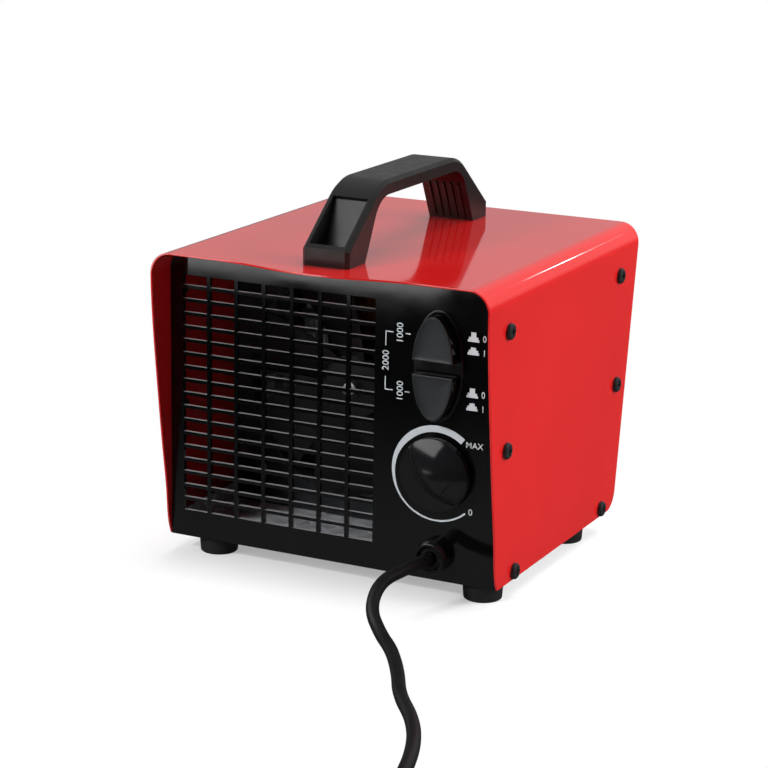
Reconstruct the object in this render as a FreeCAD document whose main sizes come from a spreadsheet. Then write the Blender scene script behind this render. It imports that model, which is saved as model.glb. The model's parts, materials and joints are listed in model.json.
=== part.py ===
"""Ceramic (PTC) fan heater: a folded red cover over a black steel chassis, with a carrying handle.

Every sub-part is modelled from one datum: the middle of the cover's lower edge, on the face of the
control panel. X runs to the right, Y runs back into the heater and Z runs up. The placement of each
sub-part then moves the datum, so that the origin lies under the middle of the heater on the table.
"""
import FreeCAD, Part
import Sketcher
import math
import os

V = FreeCAD.Vector
doc = FreeCAD.newDocument("CeramicHeater")

# ---------------------------------------------------------------- driving dimensions
DIMENSIONS = {
    # where the datum stands
    "panel_front": 83.5,        # the panel's face lies this far in front of the origin
    "foot_height": 10.0,        # the cover's lower edge stands this far above the table
    # the folded cover
    "cover_width": 202.3,
    "cover_height": 166.0,
    "gauge": 1.0,               # thickness of every folded sheet
    "bend_radius": 12.0,
    "visor_depth": 19.0,        # the top reaches this far in front of the panel at its sides
    "visor_bow": 8.0,           # and this much further in its middle
    "bow_half": 62.0,           # half the width of that bow
    "tail_top": 194.0,          # the cover's rear edge at the top, behind the panel's face
    "tail_bottom": 168.0,       # and at the bottom
    "tail_corner": 12.0,
    "seam_gap": 0.25,           # air between the cover and the flanges in it
    # screws through the cover's sides
    "cover_screw_front": 6.5,
    "cover_screw_rear": 163.5,
    "cover_screw_high": 140.5,
    "cover_screw_mid": 76.0,
    "base_screw_front": 21.6,
    "base_screw_rear": 147.1,
    "base_screw_height": 4.9,
    "screw_head": 9.0,
    "screw_head_height": 2.4,
    "screw_shank": 3.5,
    "screw_length": 8.0,
    "screw_clearance": 4.5,
    # control panel and its intake grille
    "panel_thick": 2.0,
    "panel_flange": 12.0,
    "flange_low": 12.0,         # the side flanges stop this far above the lower edge
    "flange_high": 150.0,
    "grille_left": 93.05,       # left edge of the grille, left of the middle
    "grille_top": 151.5,
    "column_pitch": 17.25,
    "column_count": 7.0,
    "row_pitch": 7.613,
    "row_count": 18.0,
    "column_bar": 2.2,
    "row_bar": 1.9,
    # controls, all on one upright line
    "control_line": 64.3,
    "knob_height": 59.6,
    "knob_diameter": 41.0,
    "knob_crest": 12.5,         # of the domed face, in front of the panel
    "knob_dome": 32.5,          # radius of that face
    "knob_gap": 1.0,
    "knob_flange": 2.6,
    "knob_bevel": 17.4,         # the bevel's sphere stands this far to the other side of the axis
    "knob_socket": 7.0,
    "spindle_diameter": 6.0,
    "spindle_length": 24.0,
    "button_middle": 118.6,
    "button_width": 24.2,
    "button_span": 56.4,
    "button_gap": 7.2,
    "button_reach": 8.5,
    "button_travel": 4.0,
    "button_skirt": 4.0,
    "stem_radius": 3.0,
    "stem_length": 10.0,
    "switch_offset": 14.5,
    "switch_front": 10.0,
    "switch_width": 22.0,
    "switch_tall": 20.0,
    "switch_length": 26.0,
    "bezel_rim": 2.0,
    "bezel_proud": 0.8,
    "bezel_depth": 7.0,
    # gland and mains lead
    "gland_height": 14.0,
    "gland_diameter": 19.0,
    "gland_reach": 8.0,
    "gland_hole": 12.6,
    "shaft_hole": 11.0,
    "cord_diameter": 7.0,
    "coil_outer": 47.0,         # the put-away coil: two flat layers of turns
    "coil_inner": 21.5,
    "coil_height": 14.3,
    "coil_x": 205.0,
    "coil_y": -386.5,
    "plug_radius": 17.7,
    "plug_length": 40.0,
    # fan and motor
    "fan_line": -18.0,
    "fan_height": 82.0,
    "fan_plate_depth": 70.0,
    "fan_opening": 140.0,
    "fan_diameter": 132.0,
    "fan_hub": 38.0,
    "fan_front": 59.0,
    "fan_length": 17.0,
    "fan_pitch": 28.0,
    "shaft_diameter": 5.0,
    "motor_front": 88.0,
    "motor_stack": 18.0,
    # heating element and outlet
    "duct_half": 73.5,
    "element_front": 122.0,
    "element_depth": 22.0,
    "element_half": 66.0,
    "outlet_depth": 155.5,
    "outlet_half": 64.0,
    "outlet_flange": 11.0,
    # handle
    "handle_width": 28.0,
    "handle_front": -8.0,
    "handle_rear": 170.0,
    "handle_rise": 41.0,
    "grip_thick": 8.0,
    "leg_foot": 20.0,
    "leg_block": 9.5,
    "handle_bevel": 2.0,
    "handle_screw_front": 6.0,
    "handle_screw_rear": 160.5,
    "scoop_half": 10.5,
    "scoop_floor": 4.0,
    # feet
    "foot_recess": 11.0,
    "foot_hole": 4.0,
    "foot_diameter": 22.5,
    "foot_left": -77.0,
    "foot_right": 87.0,
    "foot_front": 13.5,
    "foot_rear": 127.0,
}

sheet = doc.addObject("Spreadsheet::Sheet", "Dims")
for row, (alias, size) in enumerate(DIMENSIONS.items(), start=1):
    sheet.set("A%d" % row, alias)
    sheet.set("B%d" % row, str(size))
    sheet.setAlias("B%d" % row, alias)
doc.recompute()


def dim(alias):
    """The number that a cell of the sheet holds."""
    return float(sheet.get(alias))


def formula(words):
    """An expression whose dimension names point at the sheet's cells."""
    text = str(words)
    for mark in "+-*/()":
        text = text.replace(mark, " %s " % mark)
    return " ".join("Dims." + word if word in DIMENSIONS else word for word in text.split())


def bind(item, prop, words):
    item.setExpression(prop, formula(words))


# ---------------------------------------------------------------- helpers: primitives and booleans
PARTS = []
UPRIGHT = FreeCAD.Rotation()
ALONG_Y = FreeCAD.Rotation(V(1, 0, 0), -90)
ALONG_X = FreeCAD.Rotation(V(0, 1, 0), 90)


def sub_part(item, label):
    """Name a finished piece and move it from the datum to its place over the origin."""
    if item.isDerivedFrom("Part::Primitive"):
        item = group(item)                                # a primitive's own placement holds its corner
    item.Label = label
    bind(item, "Placement.Base.y", "-panel_front")
    bind(item, "Placement.Base.z", "foot_height")
    PARTS.append(item)
    return item


def put(item, corner):
    for axis, words in zip("xyz", corner):
        bind(item, "Placement.Base." + axis, words)
    return item


def box(corner, size):
    item = doc.addObject("Part::Box", "Block")
    for prop, words in zip(("Length", "Width", "Height"), size):
        bind(item, prop, words)
    return put(item, corner)


def rod(radius, length, base, turn=ALONG_Y):
    item = doc.addObject("Part::Cylinder", "Rod")
    item.Placement = FreeCAD.Placement(V(), turn)
    bind(item, "Radius", radius)
    bind(item, "Height", length)
    return put(item, base)


def cone(radius_1, radius_2, length, base, turn=ALONG_Y):
    item = doc.addObject("Part::Cone", "Taper")
    item.Placement = FreeCAD.Placement(V(), turn)
    bind(item, "Radius1", radius_1)
    bind(item, "Radius2", radius_2)
    bind(item, "Height", length)
    return put(item, base)


def fuse(*items):
    joined = doc.addObject("Part::MultiFuse", "Joined")
    joined.Shapes = list(items)
    joined.Refine = True
    return joined


def group(*items):
    gathered = doc.addObject("Part::Compound", "Group")
    gathered.Links = list(items)
    return gathered


def cut(base, *tools):
    result = doc.addObject("Part::Cut", "Cut")
    result.Base = base
    result.Tool = tools[0] if len(tools) == 1 else group(*tools)
    return result


def feature(shape, label):
    """A piece whose shape neither a body nor primitives make."""
    item = doc.addObject("Part::Feature", "Piece")
    item.Shape = shape
    return sub_part(item, label)


# ---------------------------------------------------------------- helpers: outlines and bodies
def outline(points):
    """Lines and arcs of a closed outline. A third number on a point rounds that corner."""
    count = len(points)
    ends = []
    for i, point in enumerate(points):
        corner = V(point[0], point[1], 0)
        radius = point[2] if len(point) > 2 else 0
        if not radius:
            ends.append((corner, None, corner))
            continue
        back = V(points[i - 1][0], points[i - 1][1], 0) - corner
        ahead = V(points[(i + 1) % count][0], points[(i + 1) % count][1], 0) - corner
        half = back.getAngle(ahead) / 2
        back.normalize()
        ahead.normalize()
        middle = back + ahead
        middle.normalize()
        reach = radius / math.tan(half)
        crest = corner + middle * (radius / math.sin(half) - radius)
        ends.append((corner + back * reach, crest, corner + ahead * reach))
    edges = []
    for i in range(count):
        start, goal = ends[i - 1][2], ends[i][0]
        if start.distanceToPoint(goal) > 1e-6:
            edges.append(Part.LineSegment(start, goal))
        if ends[i][1] is not None:
            edges.append(Part.Arc(*ends[i]))
    return edges


def new_body(name):
    return doc.addObject("PartDesign::Body", name)


def new_sketch(body, name, role, offset="0"):
    """A sketch on one of the body's origin planes. XZ looks from the front: its offset runs to -Y."""
    sketch = body.newObject("Sketcher::SketchObject", name)
    plane = next(item for item in body.Origin.OriginFeatures if item.Role == role)
    sketch.AttachmentSupport = [(plane, "")]
    sketch.MapMode = "FlatFace"
    bind(sketch, "AttachmentOffset.Base.z", offset)
    return sketch


def pin_point(sketch, geometry, end, x, y):
    """Hold a point of the sketch at two formulas from its origin."""
    for kind, words in (("DistanceX", x), ("DistanceY", y)):
        index = sketch.addConstraint(Sketcher.Constraint(kind, -1, 1, geometry, end, 1.0))
        bind(sketch, "Constraints[%d]" % index, words)


def add_rectangle(sketch, left, low, right, high):
    first = sketch.GeometryCount
    corners = [V(1, 1, 0), V(2, 1, 0), V(2, 2, 0), V(1, 2, 0)]
    for i in range(4):
        sketch.addGeometry(Part.LineSegment(corners[i], corners[(i + 1) % 4]), False)
    for i in range(4):
        sketch.addConstraint(Sketcher.Constraint("Coincident", first + i, 2, first + (i + 1) % 4, 1))
    for i, kind in enumerate(("Horizontal", "Vertical", "Horizontal", "Vertical")):
        sketch.addConstraint(Sketcher.Constraint(kind, first + i))
    pin_point(sketch, first, 1, left, low)
    pin_point(sketch, first + 2, 1, right, high)


def add_circle(sketch, x, y, radius):
    index = sketch.addGeometry(Part.Circle(V(1, 1, 0), V(0, 0, 1), 1.0), False)
    pin_point(sketch, index, 3, x, y)
    size = sketch.addConstraint(Sketcher.Constraint("Radius", index, 1.0))
    bind(sketch, "Constraints[%d]" % size, radius)


def add_outline(sketch, points):
    for edge in outline(points):
        sketch.addGeometry(edge, False)


def pad(body, sketch, length):
    item = body.newObject("PartDesign::Pad", "Pad")
    item.Profile = sketch
    bind(item, "Length", length)
    return item


def pocket(body, sketch, length=None):
    """Cut a sketch both ways through everything, or a given depth behind its plane."""
    item = body.newObject("PartDesign::Pocket", "Pocket")
    item.Profile = sketch
    if length is None:
        item.Type = 1
        item.Midplane = True
    else:
        bind(item, "Length", length)
    return item


def revolve(body, sketch, axis):
    item = body.newObject("PartDesign::Revolution", "Revolution")
    item.Profile = sketch
    item.ReferenceAxis = (sketch, [axis])
    item.Angle = 360
    return item


def round_edges(body, base, edges, radius):
    item = body.newObject("PartDesign::Fillet", "Fillet")
    item.Base = (base, edges)
    bind(item, "Radius", radius)
    return item


def edges_where(shape, test):
    """Names of the edges whose middle passes the test."""
    names = []
    for index, edge in enumerate(shape.Edges, start=1):
        if test(edge.BoundBox.Center):
            names.append("Edge%d" % index)
    return names


# ---------------------------------------------------------------- sizes worked out from the sheet
HALF = dim("cover_width") / 2
TOP = dim("cover_height")
GAUGE = dim("gauge")
BEND = dim("bend_radius")
INNER = HALF - GAUGE
FLANGE_FACE = "cover_width / 2 - gauge - seam_gap"       # outer face of every side flange
SHEET_HALF = INNER - dim("seam_gap")
SHEET_TOP = TOP - GAUGE - dim("seam_gap")
SHEET_BEND = BEND - GAUGE
FAN_X = dim("fan_line")
FAN_Z = dim("fan_height")
LINE = dim("control_line")


# ---------------------------------------------------------------- the red cover
def cover_shell():
    """A sheet folded over the chassis, with a bowed visor in front and slanted sides behind."""
    body = new_body("Cover")
    section = new_sketch(body, "Section", "XZ_Plane", "visor_depth + visor_bow + 10")
    add_outline(section, [
        (-HALF, 0), (-HALF, TOP, BEND), (HALF, TOP, BEND), (HALF, 0),
        (INNER, 0), (INNER, TOP - GAUGE, SHEET_BEND), (-INNER, TOP - GAUGE, SHEET_BEND), (-INNER, 0)])
    shell = pad(body, section, "visor_depth + visor_bow + tail_top + 20")
    shell.Reversed = True

    far = 60.0                                            # well clear of the folded sheet
    visor, bow = -dim("visor_depth"), dim("visor_bow")
    front = new_sketch(body, "FrontEdge", "YZ_Plane")
    knots = [V(visor, TOP - 8, 0), V(visor + 0.5, 140, 0), V(visor + 3.5, 109, 0), V(visor + 8, 73, 0),
             V(visor + 11.8, 46, 0), V(visor + 14.9, 24, 0), V(-2.4, 8, 0), V(1.5, -2, 0)]
    curve = Part.BSplineCurve()
    curve.interpolate(knots)
    front.addGeometry(curve, False)
    corners = [knots[-1], V(1.5, -far, 0), V(-far, -far, 0), V(-far, TOP - 8, 0), knots[0]]
    for start, goal in zip(corners, corners[1:]):
        front.addGeometry(Part.LineSegment(start, goal), False)
    pocket(body, front)

    rear = new_sketch(body, "RearEdge", "YZ_Plane")
    slope = (dim("tail_top") - dim("tail_bottom")) / TOP
    low, high = dim("tail_bottom") - slope * far, dim("tail_top") + slope * far
    add_outline(rear, [(low + slope * far - 40, 0), (dim("tail_bottom"), 0, dim("tail_corner")),
                       (high, TOP + far), (high + far, TOP + far), (high + far, -far),
                       (low + slope * far - 40, -far)])
    pocket(body, rear)

    # The visor's plan: straight at the sides, with a bow made of four equal arcs in the middle.
    plan = new_sketch(body, "VisorPlan", "XY_Plane")
    reach = dim("bow_half")
    sweep = math.atan2(bow, reach)
    crest, hollow = V(0, visor - bow, 0), V(reach, visor, 0)
    radius = (reach ** 2 + bow ** 2) / (4 * bow)
    middle = (crest + hollow) / 2
    half_turn = V(radius * math.sin(sweep), visor - bow + radius * (1 - math.cos(sweep)), 0)
    half_back = V(reach - half_turn.x, visor - (half_turn.y - crest.y), 0)
    mirror = [V(-p.x, p.y, 0) for p in (middle, half_turn, half_back, hollow)]
    for arc in (Part.Arc(crest, half_turn, middle), Part.Arc(middle, half_back, hollow),
                Part.Arc(mirror[3], mirror[2], mirror[0]), Part.Arc(mirror[0], mirror[1], crest)):
        plan.addGeometry(arc, False)
    border = [hollow, V(HALF + far, visor, 0), V(HALF + far, -2 * far, 0), V(-HALF - far, -2 * far, 0),
              V(-HALF - far, visor, 0), mirror[3]]
    for start, goal in zip(border, border[1:]):
        plan.addGeometry(Part.LineSegment(start, goal), False)
    pocket(body, plan)

    holes = new_sketch(body, "SideHoles", "YZ_Plane")
    for y, z in COVER_SCREWS:
        add_circle(holes, y, z, "screw_clearance / 2")
    pocket(body, holes)
    top_holes = new_sketch(body, "HandleHoles", "XY_Plane", "cover_height + 10")
    for y in HANDLE_SCREWS:
        add_circle(top_holes, "0", y, "screw_clearance / 2")
    pocket(body, top_holes, "30")
    return sub_part(body, "cover_shell")


COVER_SCREWS = [("cover_screw_front", "cover_screw_high"), ("cover_screw_front", "cover_screw_mid"),
                ("base_screw_front", "base_screw_height"), ("cover_screw_rear", "cover_screw_high"),
                ("cover_screw_rear", "cover_screw_mid"), ("base_screw_rear", "base_screw_height")]
HANDLE_SCREWS = ["handle_screw_front", "handle_screw_rear"]


def pan_head(head, height, shank, length):
    """A pan-head screw standing on XY, its head up, with a cross recess."""
    profile = outline([(0, -length), (shank / 2, -length), (shank / 2, 0), (head / 2, 0),
                       (head / 2, height, height * 0.6), (0, height)])
    wire = Part.Wire(Part.__sortEdges__([edge.toShape() for edge in profile]))
    wire.rotate(V(), V(1, 0, 0), 90)
    solid = Part.Face(wire).revolve(V(), V(0, 0, 1), 360)
    for turn in (0, 90):
        slot = Part.makeBox(head * 0.55, head * 0.13, height, V(-head * 0.275, -head * 0.065, height * 0.45))
        slot.rotate(V(), V(0, 0, 1), turn)
        solid = solid.cut(slot)
    return solid


def cover_screws():
    """Twelve identical screws that hold the cover to the flanges inside it."""
    solids = []
    for y, z in COVER_SCREWS:
        for side in (-1, 1):
            screw = pan_head(dim("screw_head"), dim("screw_head_height"), dim("screw_shank"),
                             dim("screw_length"))
            screw.rotate(V(), V(0, 1, 0), 90 * side)
            screw.translate(V(side * HALF, dim(y), dim(z)))
            solids.append(screw)
    return feature(Part.makeCompound(solids), "cover_screws")


# ---------------------------------------------------------------- control panel and controls
def control_panel():
    """Black front of the chassis: intake grille on the left, controls on the right."""
    body = new_body("Panel")
    face = new_sketch(body, "Face", "XZ_Plane", "- panel_thick")
    low = 0.0
    add_outline(face, [(-SHEET_HALF, low), (-SHEET_HALF, SHEET_TOP, SHEET_BEND),
                       (SHEET_HALF, SHEET_TOP, SHEET_BEND), (SHEET_HALF, low)])
    pad(body, face, "panel_thick")
    flanges = new_sketch(body, "Flanges", "XZ_Plane", "- panel_thick - panel_flange")
    for side in (-1, 1):
        outer = "%d * ( %s )" % (side, FLANGE_FACE)
        inner = "%d * ( %s - gauge )" % (side, FLANGE_FACE)
        left, right = (outer, inner) if side < 0 else (inner, outer)
        add_rectangle(flanges, left, "flange_low", right, "flange_high")
    pad(body, flanges, "panel_flange")

    column = new_sketch(body, "GrilleColumn", "XZ_Plane")
    for row in range(int(dim("row_count"))):
        high = "grille_top - %d * row_pitch - row_bar / 2" % row
        add_rectangle(column, "- grille_left + column_bar / 2", high + " - row_pitch + row_bar",
                      "- grille_left + column_pitch - column_bar / 2", high)
    slots = pocket(body, column)
    doc.recompute()
    columns = body.newObject("PartDesign::LinearPattern", "GrilleColumns")
    columns.Originals = [slots]
    columns.Direction = (column, ["H_Axis"])
    bind(columns, "Length", "column_pitch * ( column_count - 1 )")
    columns.Occurrences = int(dim("column_count"))
    body.Tip = columns

    holes = new_sketch(body, "ControlHoles", "XZ_Plane")
    add_circle(holes, "control_line", "knob_height", "shaft_hole / 2")
    add_circle(holes, "control_line", "gland_height", "gland_hole / 2")
    holes.addGeometry(upright_ellipse(BEZEL_BODY_A, BEZEL_BODY_B), False)
    pocket(body, holes)

    screw_holes = new_sketch(body, "FlangeHoles", "YZ_Plane")
    for y, z in COVER_SCREWS[:2]:
        add_circle(screw_holes, y, z, "screw_shank / 2 + 0.05")
    pocket(body, screw_holes)
    return sub_part(body, "control_panel")


BUTTON_A = dim("button_width") / 2
BUTTON_B = dim("button_span") / 2
BUTTON_AIR = 0.4                                           # round each button
BEZEL_IN_A, BEZEL_IN_B = BUTTON_A + BUTTON_AIR, BUTTON_B + BUTTON_AIR
BEZEL_BODY_A, BEZEL_BODY_B = BEZEL_IN_A + 1.2, BEZEL_IN_B + 1.2
BEZEL_OUT_A, BEZEL_OUT_B = BEZEL_IN_A + dim("bezel_rim"), BEZEL_IN_B + dim("bezel_rim")


def upright_ellipse(half_width, half_height):
    """A standing ellipse round the middle of the two buttons, in a sketch on the XZ plane."""
    centre = V(LINE, dim("button_middle"), 0)
    return Part.Ellipse(centre + V(0, half_height, 0), centre - V(half_width, 0, 0), centre)


def half_oval(upper):
    """Closed outline of one button: half of the oval, less half of the gap."""
    side = math.acos(dim("button_gap") / 2 / BUTTON_B)
    middle = 0 if upper else math.pi
    arc = Part.ArcOfEllipse(upright_ellipse(BUTTON_A, BUTTON_B), middle - side, middle + side)
    return [arc, Part.LineSegment(arc.EndPoint, arc.StartPoint)]


def button(label, upper):
    """A push button that slides straight in: a half-oval cap on a round stem."""
    body = new_body("Button")
    cap = new_sketch(body, "Cap", "XZ_Plane", "- button_skirt")
    for edge in half_oval(upper):
        cap.addGeometry(edge, False)
    raised = pad(body, cap, "button_skirt + button_reach")
    doc.recompute()
    rim = edges_where(raised.Shape, lambda middle: middle.y < -dim("button_reach") + 0.01)
    round_edges(body, raised, rim, "0.8")
    stem = new_sketch(body, "Stem", "XZ_Plane", "- button_skirt - stem_length")
    side = "+" if upper else "-"
    add_circle(stem, "control_line", "button_middle %s switch_offset" % side, "stem_radius")
    pad(body, stem, "stem_length")
    return sub_part(body, label)


def button_bezel():
    """Oval guide for both buttons, with a bridge between them."""
    body = new_body("Bezel")
    ring = new_sketch(body, "Ring", "XZ_Plane", "- bezel_depth")
    ring.addGeometry(upright_ellipse(BEZEL_BODY_A - 0.1, BEZEL_BODY_B - 0.1), False)
    pad(body, ring, "bezel_depth")
    rim = new_sketch(body, "Rim", "XZ_Plane")
    rim.addGeometry(upright_ellipse(BEZEL_OUT_A, BEZEL_OUT_B), False)
    pad(body, rim, "bezel_proud")
    hole = new_sketch(body, "Openings", "XZ_Plane")
    for upper in (True, False):
        side = math.acos((dim("button_gap") / 2 - BUTTON_AIR) / BEZEL_IN_B)
        middle = 0 if upper else math.pi
        arc = Part.ArcOfEllipse(upright_ellipse(BEZEL_IN_A, BEZEL_IN_B), middle - side, middle + side)
        hole.addGeometry(arc, False)
        hole.addGeometry(Part.LineSegment(arc.EndPoint, arc.StartPoint), False)
    pocket(body, hole)
    return sub_part(body, "button_bezel")


def switch_body(label, side):
    """Push switch behind a button: a block with a hole for the stem and three tabs behind."""
    height = "button_middle %s switch_offset" % side
    block = box(("control_line - switch_width / 2", "switch_front", height + " - switch_tall / 2"),
                ("switch_width", "switch_length", "switch_tall"))
    mouth = rod("stem_radius + 0.3", "14", ("control_line", "switch_front - 1", height))
    solid = cut(block, mouth)
    tabs = [box(("control_line - 3", "switch_front + switch_length", height + " + %s" % offset),
                ("6", "8", "0.8")) for offset in ("6", "0", "- 6")]
    return sub_part(fuse(solid, *tabs), label)


RIDGE = V(1, 0, -1).normalize()            # the knob's pointer, towards the lower right at 0
ACROSS = V(-1, 0, -1).normalize()          # towards the lower left


def on_knob(along, across, y):
    """A point of the knob, from its own axes."""
    return V(LINE, y, dim("knob_height")) + RIDGE * along + ACROSS * across


def thermostat_knob():
    """Round knob with a domed face; a second, larger dome cuts its lower-left side to a pointer edge."""
    radius = dim("knob_diameter") / 2
    back, floor = -dim("knob_gap"), -dim("knob_gap") - dim("knob_flange")
    axis = V(LINE, back, dim("knob_height"))
    flange = Part.makeCylinder(radius, dim("knob_flange"), axis, V(0, -1, 0))
    depth = dim("knob_dome") - dim("knob_crest")
    grip = Part.makeCylinder(radius - 0.2, 20, axis, V(0, -1, 0))
    grip = grip.common(Part.makeSphere(dim("knob_dome"), on_knob(0, 0, depth)))
    reach = dim("knob_bevel")
    radius_2 = math.hypot(reach - 1.2, dim("knob_dome"))
    grip = grip.common(Part.makeSphere(radius_2, on_knob(0, -reach, depth)))
    solid = flange.fuse(grip).removeSplitter()
    solid = solid.cut(Part.makeCylinder(dim("spindle_diameter") / 2 + 0.05, dim("knob_socket"),
                                        V(LINE, back + 1, dim("knob_height")), V(0, -1, 0)))
    return feature(solid, "thermostat_knob")


def thermostat():
    """Capillary thermostat behind the panel: body, threaded neck, nut, and spindle."""
    case = box(("control_line - 15", "panel_thick + 6", "knob_height - 15"), ("30", "22", "30"))
    boss = rod("9", "5.6", ("control_line", "panel_thick + 0.4", "knob_height"))
    bore = rod("spindle_diameter / 2 + 0.05", "22", ("control_line", "-2", "knob_height"))
    tabs = [box(("control_line %s" % x, "panel_thick + 28", "knob_height - 4"), ("0.8", "8", "8"))
            for x in ("- 8", "+ 7")]
    sub_part(cut(fuse(case, boss, *tabs), bore), "thermostat_body")
    spindle = rod("spindle_diameter / 2", "spindle_length",
                  ("control_line", "0 - knob_gap - knob_socket + 1.5", "knob_height"))
    sub_part(spindle, "thermostat_spindle")


def cord_gland():
    """Strain relief: a collar on the panel, a waist through it and a tapered clamp behind."""
    body = new_body("Gland")
    profile = new_sketch(body, "Profile", "YZ_Plane", "control_line")
    axis = dim("gland_height")
    rim, waist = dim("gland_diameter") / 2, dim("gland_hole") / 2 - 0.1
    bore = dim("cord_diameter") / 2
    reach = dim("gland_reach")
    add_outline(profile, [(-reach + 2.0, axis + bore), (-reach + 2.0, axis + rim - 3.4), (-reach, axis + rim - 2.6),
                          (-reach, axis + rim - 1.2, 1.0), (-reach + 2.4, axis + rim, 1.6),
                          (0, axis + rim), (0, axis + waist), (dim("panel_thick"), axis + waist),
                          (dim("panel_thick") + 14, axis + 5), (dim("panel_thick") + 14, axis + bore)])
    line = profile.addGeometry(Part.LineSegment(V(-20, axis, 0), V(30, axis, 0)), True)
    profile.addConstraint(Sketcher.Constraint("Horizontal", line))
    revolve(body, profile, "Axis0")
    return sub_part(body, "cord_gland")


# ---------------------------------------------------------------- chassis
def base_plate():
    """Galvanised floor between the two panels, with flanges that take the lowest cover screws."""
    floor = box(("0 - ( %s )" % FLANGE_FACE, "panel_thick + 0.2", "0.6"),
                ("2 * ( %s )" % FLANGE_FACE, "outlet_depth - panel_thick - 0.4", "gauge"))
    walls = [box((left, "14.5", "0.6 + gauge"), ("gauge", "outlet_depth - 15", "9.5"))
             for left in ("0 - ( %s )" % FLANGE_FACE, FLANGE_FACE + " - gauge")]
    holes = [rod("screw_shank / 2 + 0.05", "cover_width", ("0 - cover_width / 2", y, z), ALONG_X)
             for y, z in (COVER_SCREWS[2], COVER_SCREWS[5])]
    holes += [rod("foot_hole / 2", "6", (x, y, "0 - 2"), UPRIGHT) for x, y in FEET.values()]
    sub_part(cut(fuse(floor, *walls), *holes), "base_plate")


FEET = {"foot_front_left": ("foot_left", "foot_front"), "foot_front_right": ("foot_right", "foot_front"),
        "foot_rear_left": ("foot_left", "foot_rear"), "foot_rear_right": ("foot_right", "foot_rear")}


def rubber_foot(label, x, y):
    """A tapered rubber foot, recessed from below for its screw."""
    pad_body = cone("foot_diameter / 2 - 0.8", "foot_diameter / 2", "foot_height + 0.6",
                    (x, y, "0 - foot_height"), UPRIGHT)
    recess = rod("foot_recess / 2", "5", (x, y, "0 - foot_height - 1"), UPRIGHT)
    bore = rod("foot_hole / 2", "foot_height + 4", (x, y, "0 - foot_height - 1"), UPRIGHT)
    sub_part(cut(pad_body, recess, bore), label)


def foot_screws():
    """Four screws that hold the feet, each with its nut above the base plate."""
    solids = []
    for x, y in FEET.values():
        screw = pan_head(8.0, 2.4, 3.8, dim("foot_height") + 1.0)
        screw.rotate(V(), V(1, 0, 0), 180)
        screw.translate(V(dim(x), dim(y), 4 - dim("foot_height")))
        nut = Part.Face(Part.makePolygon([V(3.9 * math.cos(k * math.pi / 3), 3.9 * math.sin(k * math.pi / 3), 0)
                                          for k in range(7)])).extrude(V(0, 0, 3))
        nut.translate(V(dim(x), dim(y), 0.6 + GAUGE))
        solids.append(screw.fuse(nut))
    feature(Part.makeCompound(solids), "foot_screws")


def plate_outline(half, low, high):
    """An upright sheet inside the cover: square below, rounded above like the cover's folds."""
    return [(-half, low), (-half, high, SHEET_BEND), (half, high, SHEET_BEND), (half, low)]


def fan_plate():
    """Galvanised partition with the round opening that the fan turns in."""
    body = new_body("FanPlate")
    face = new_sketch(body, "Face", "XZ_Plane", "- fan_plate_depth - gauge")
    add_outline(face, plate_outline(SHEET_HALF - GAUGE - 0.3, 1.8, SHEET_TOP))
    pad(body, face, "gauge")
    lip = new_sketch(body, "Lip", "XZ_Plane", "- fan_plate_depth - 10")
    add_circle(lip, "fan_line", "fan_height", "fan_opening / 2 + gauge")
    pad(body, lip, "10")
    hole = new_sketch(body, "Opening", "XZ_Plane")
    add_circle(hole, "fan_line", "fan_height", "fan_opening / 2")
    pocket(body, hole)
    return sub_part(body, "fan_plate")


def fan_rotor():
    """Axial fan: seven pitched blades on a cupped hub, bored for the motor's shaft."""
    radius = dim("fan_diameter") / 2
    hub = dim("fan_hub") / 2
    length = dim("fan_length")
    front = dim("fan_front")
    centre = V(FAN_X, front, FAN_Z)
    blades = []
    span = radius + 4 - hub + 3
    blade = Part.makeBox(span, 46, 1.6, V(hub - 3, -23, -0.8))
    blade.rotate(V(), V(1, 0, 0), 90 - dim("fan_pitch"))
    ring = Part.makeCylinder(radius, length - 2, V(0, -length / 2 + 1, 0), V(0, 1, 0))
    blade = blade.common(ring)
    count = 7
    for index in range(count):
        turned = blade.copy()
        turned.rotate(V(), V(0, 1, 0), 360.0 / count * index)
        turned.translate(centre + V(0, length / 2, 0))
        blades.append(turned)
    cup = Part.makeCylinder(hub, length, centre, V(0, 1, 0))
    hollow = Part.makeCylinder(hub - 2, length - 3, centre + V(0, 3, 0), V(0, 1, 0))
    core = Part.makeCylinder(6, length - 1, centre, V(0, 1, 0))
    bore = Part.makeCylinder(dim("shaft_diameter") / 2, 60, centre - V(0, 10, 0), V(0, 1, 0))
    solid = cup.cut(hollow).fuse([core]).cut(bore)
    solid = solid.fuse([blade_i.cut(Part.makeCylinder(hub - 1, 60, centre - V(0, 20, 0), V(0, 1, 0)))
                        for blade_i in blades])
    return feature(solid.removeSplitter(), "fan_rotor")


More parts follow.
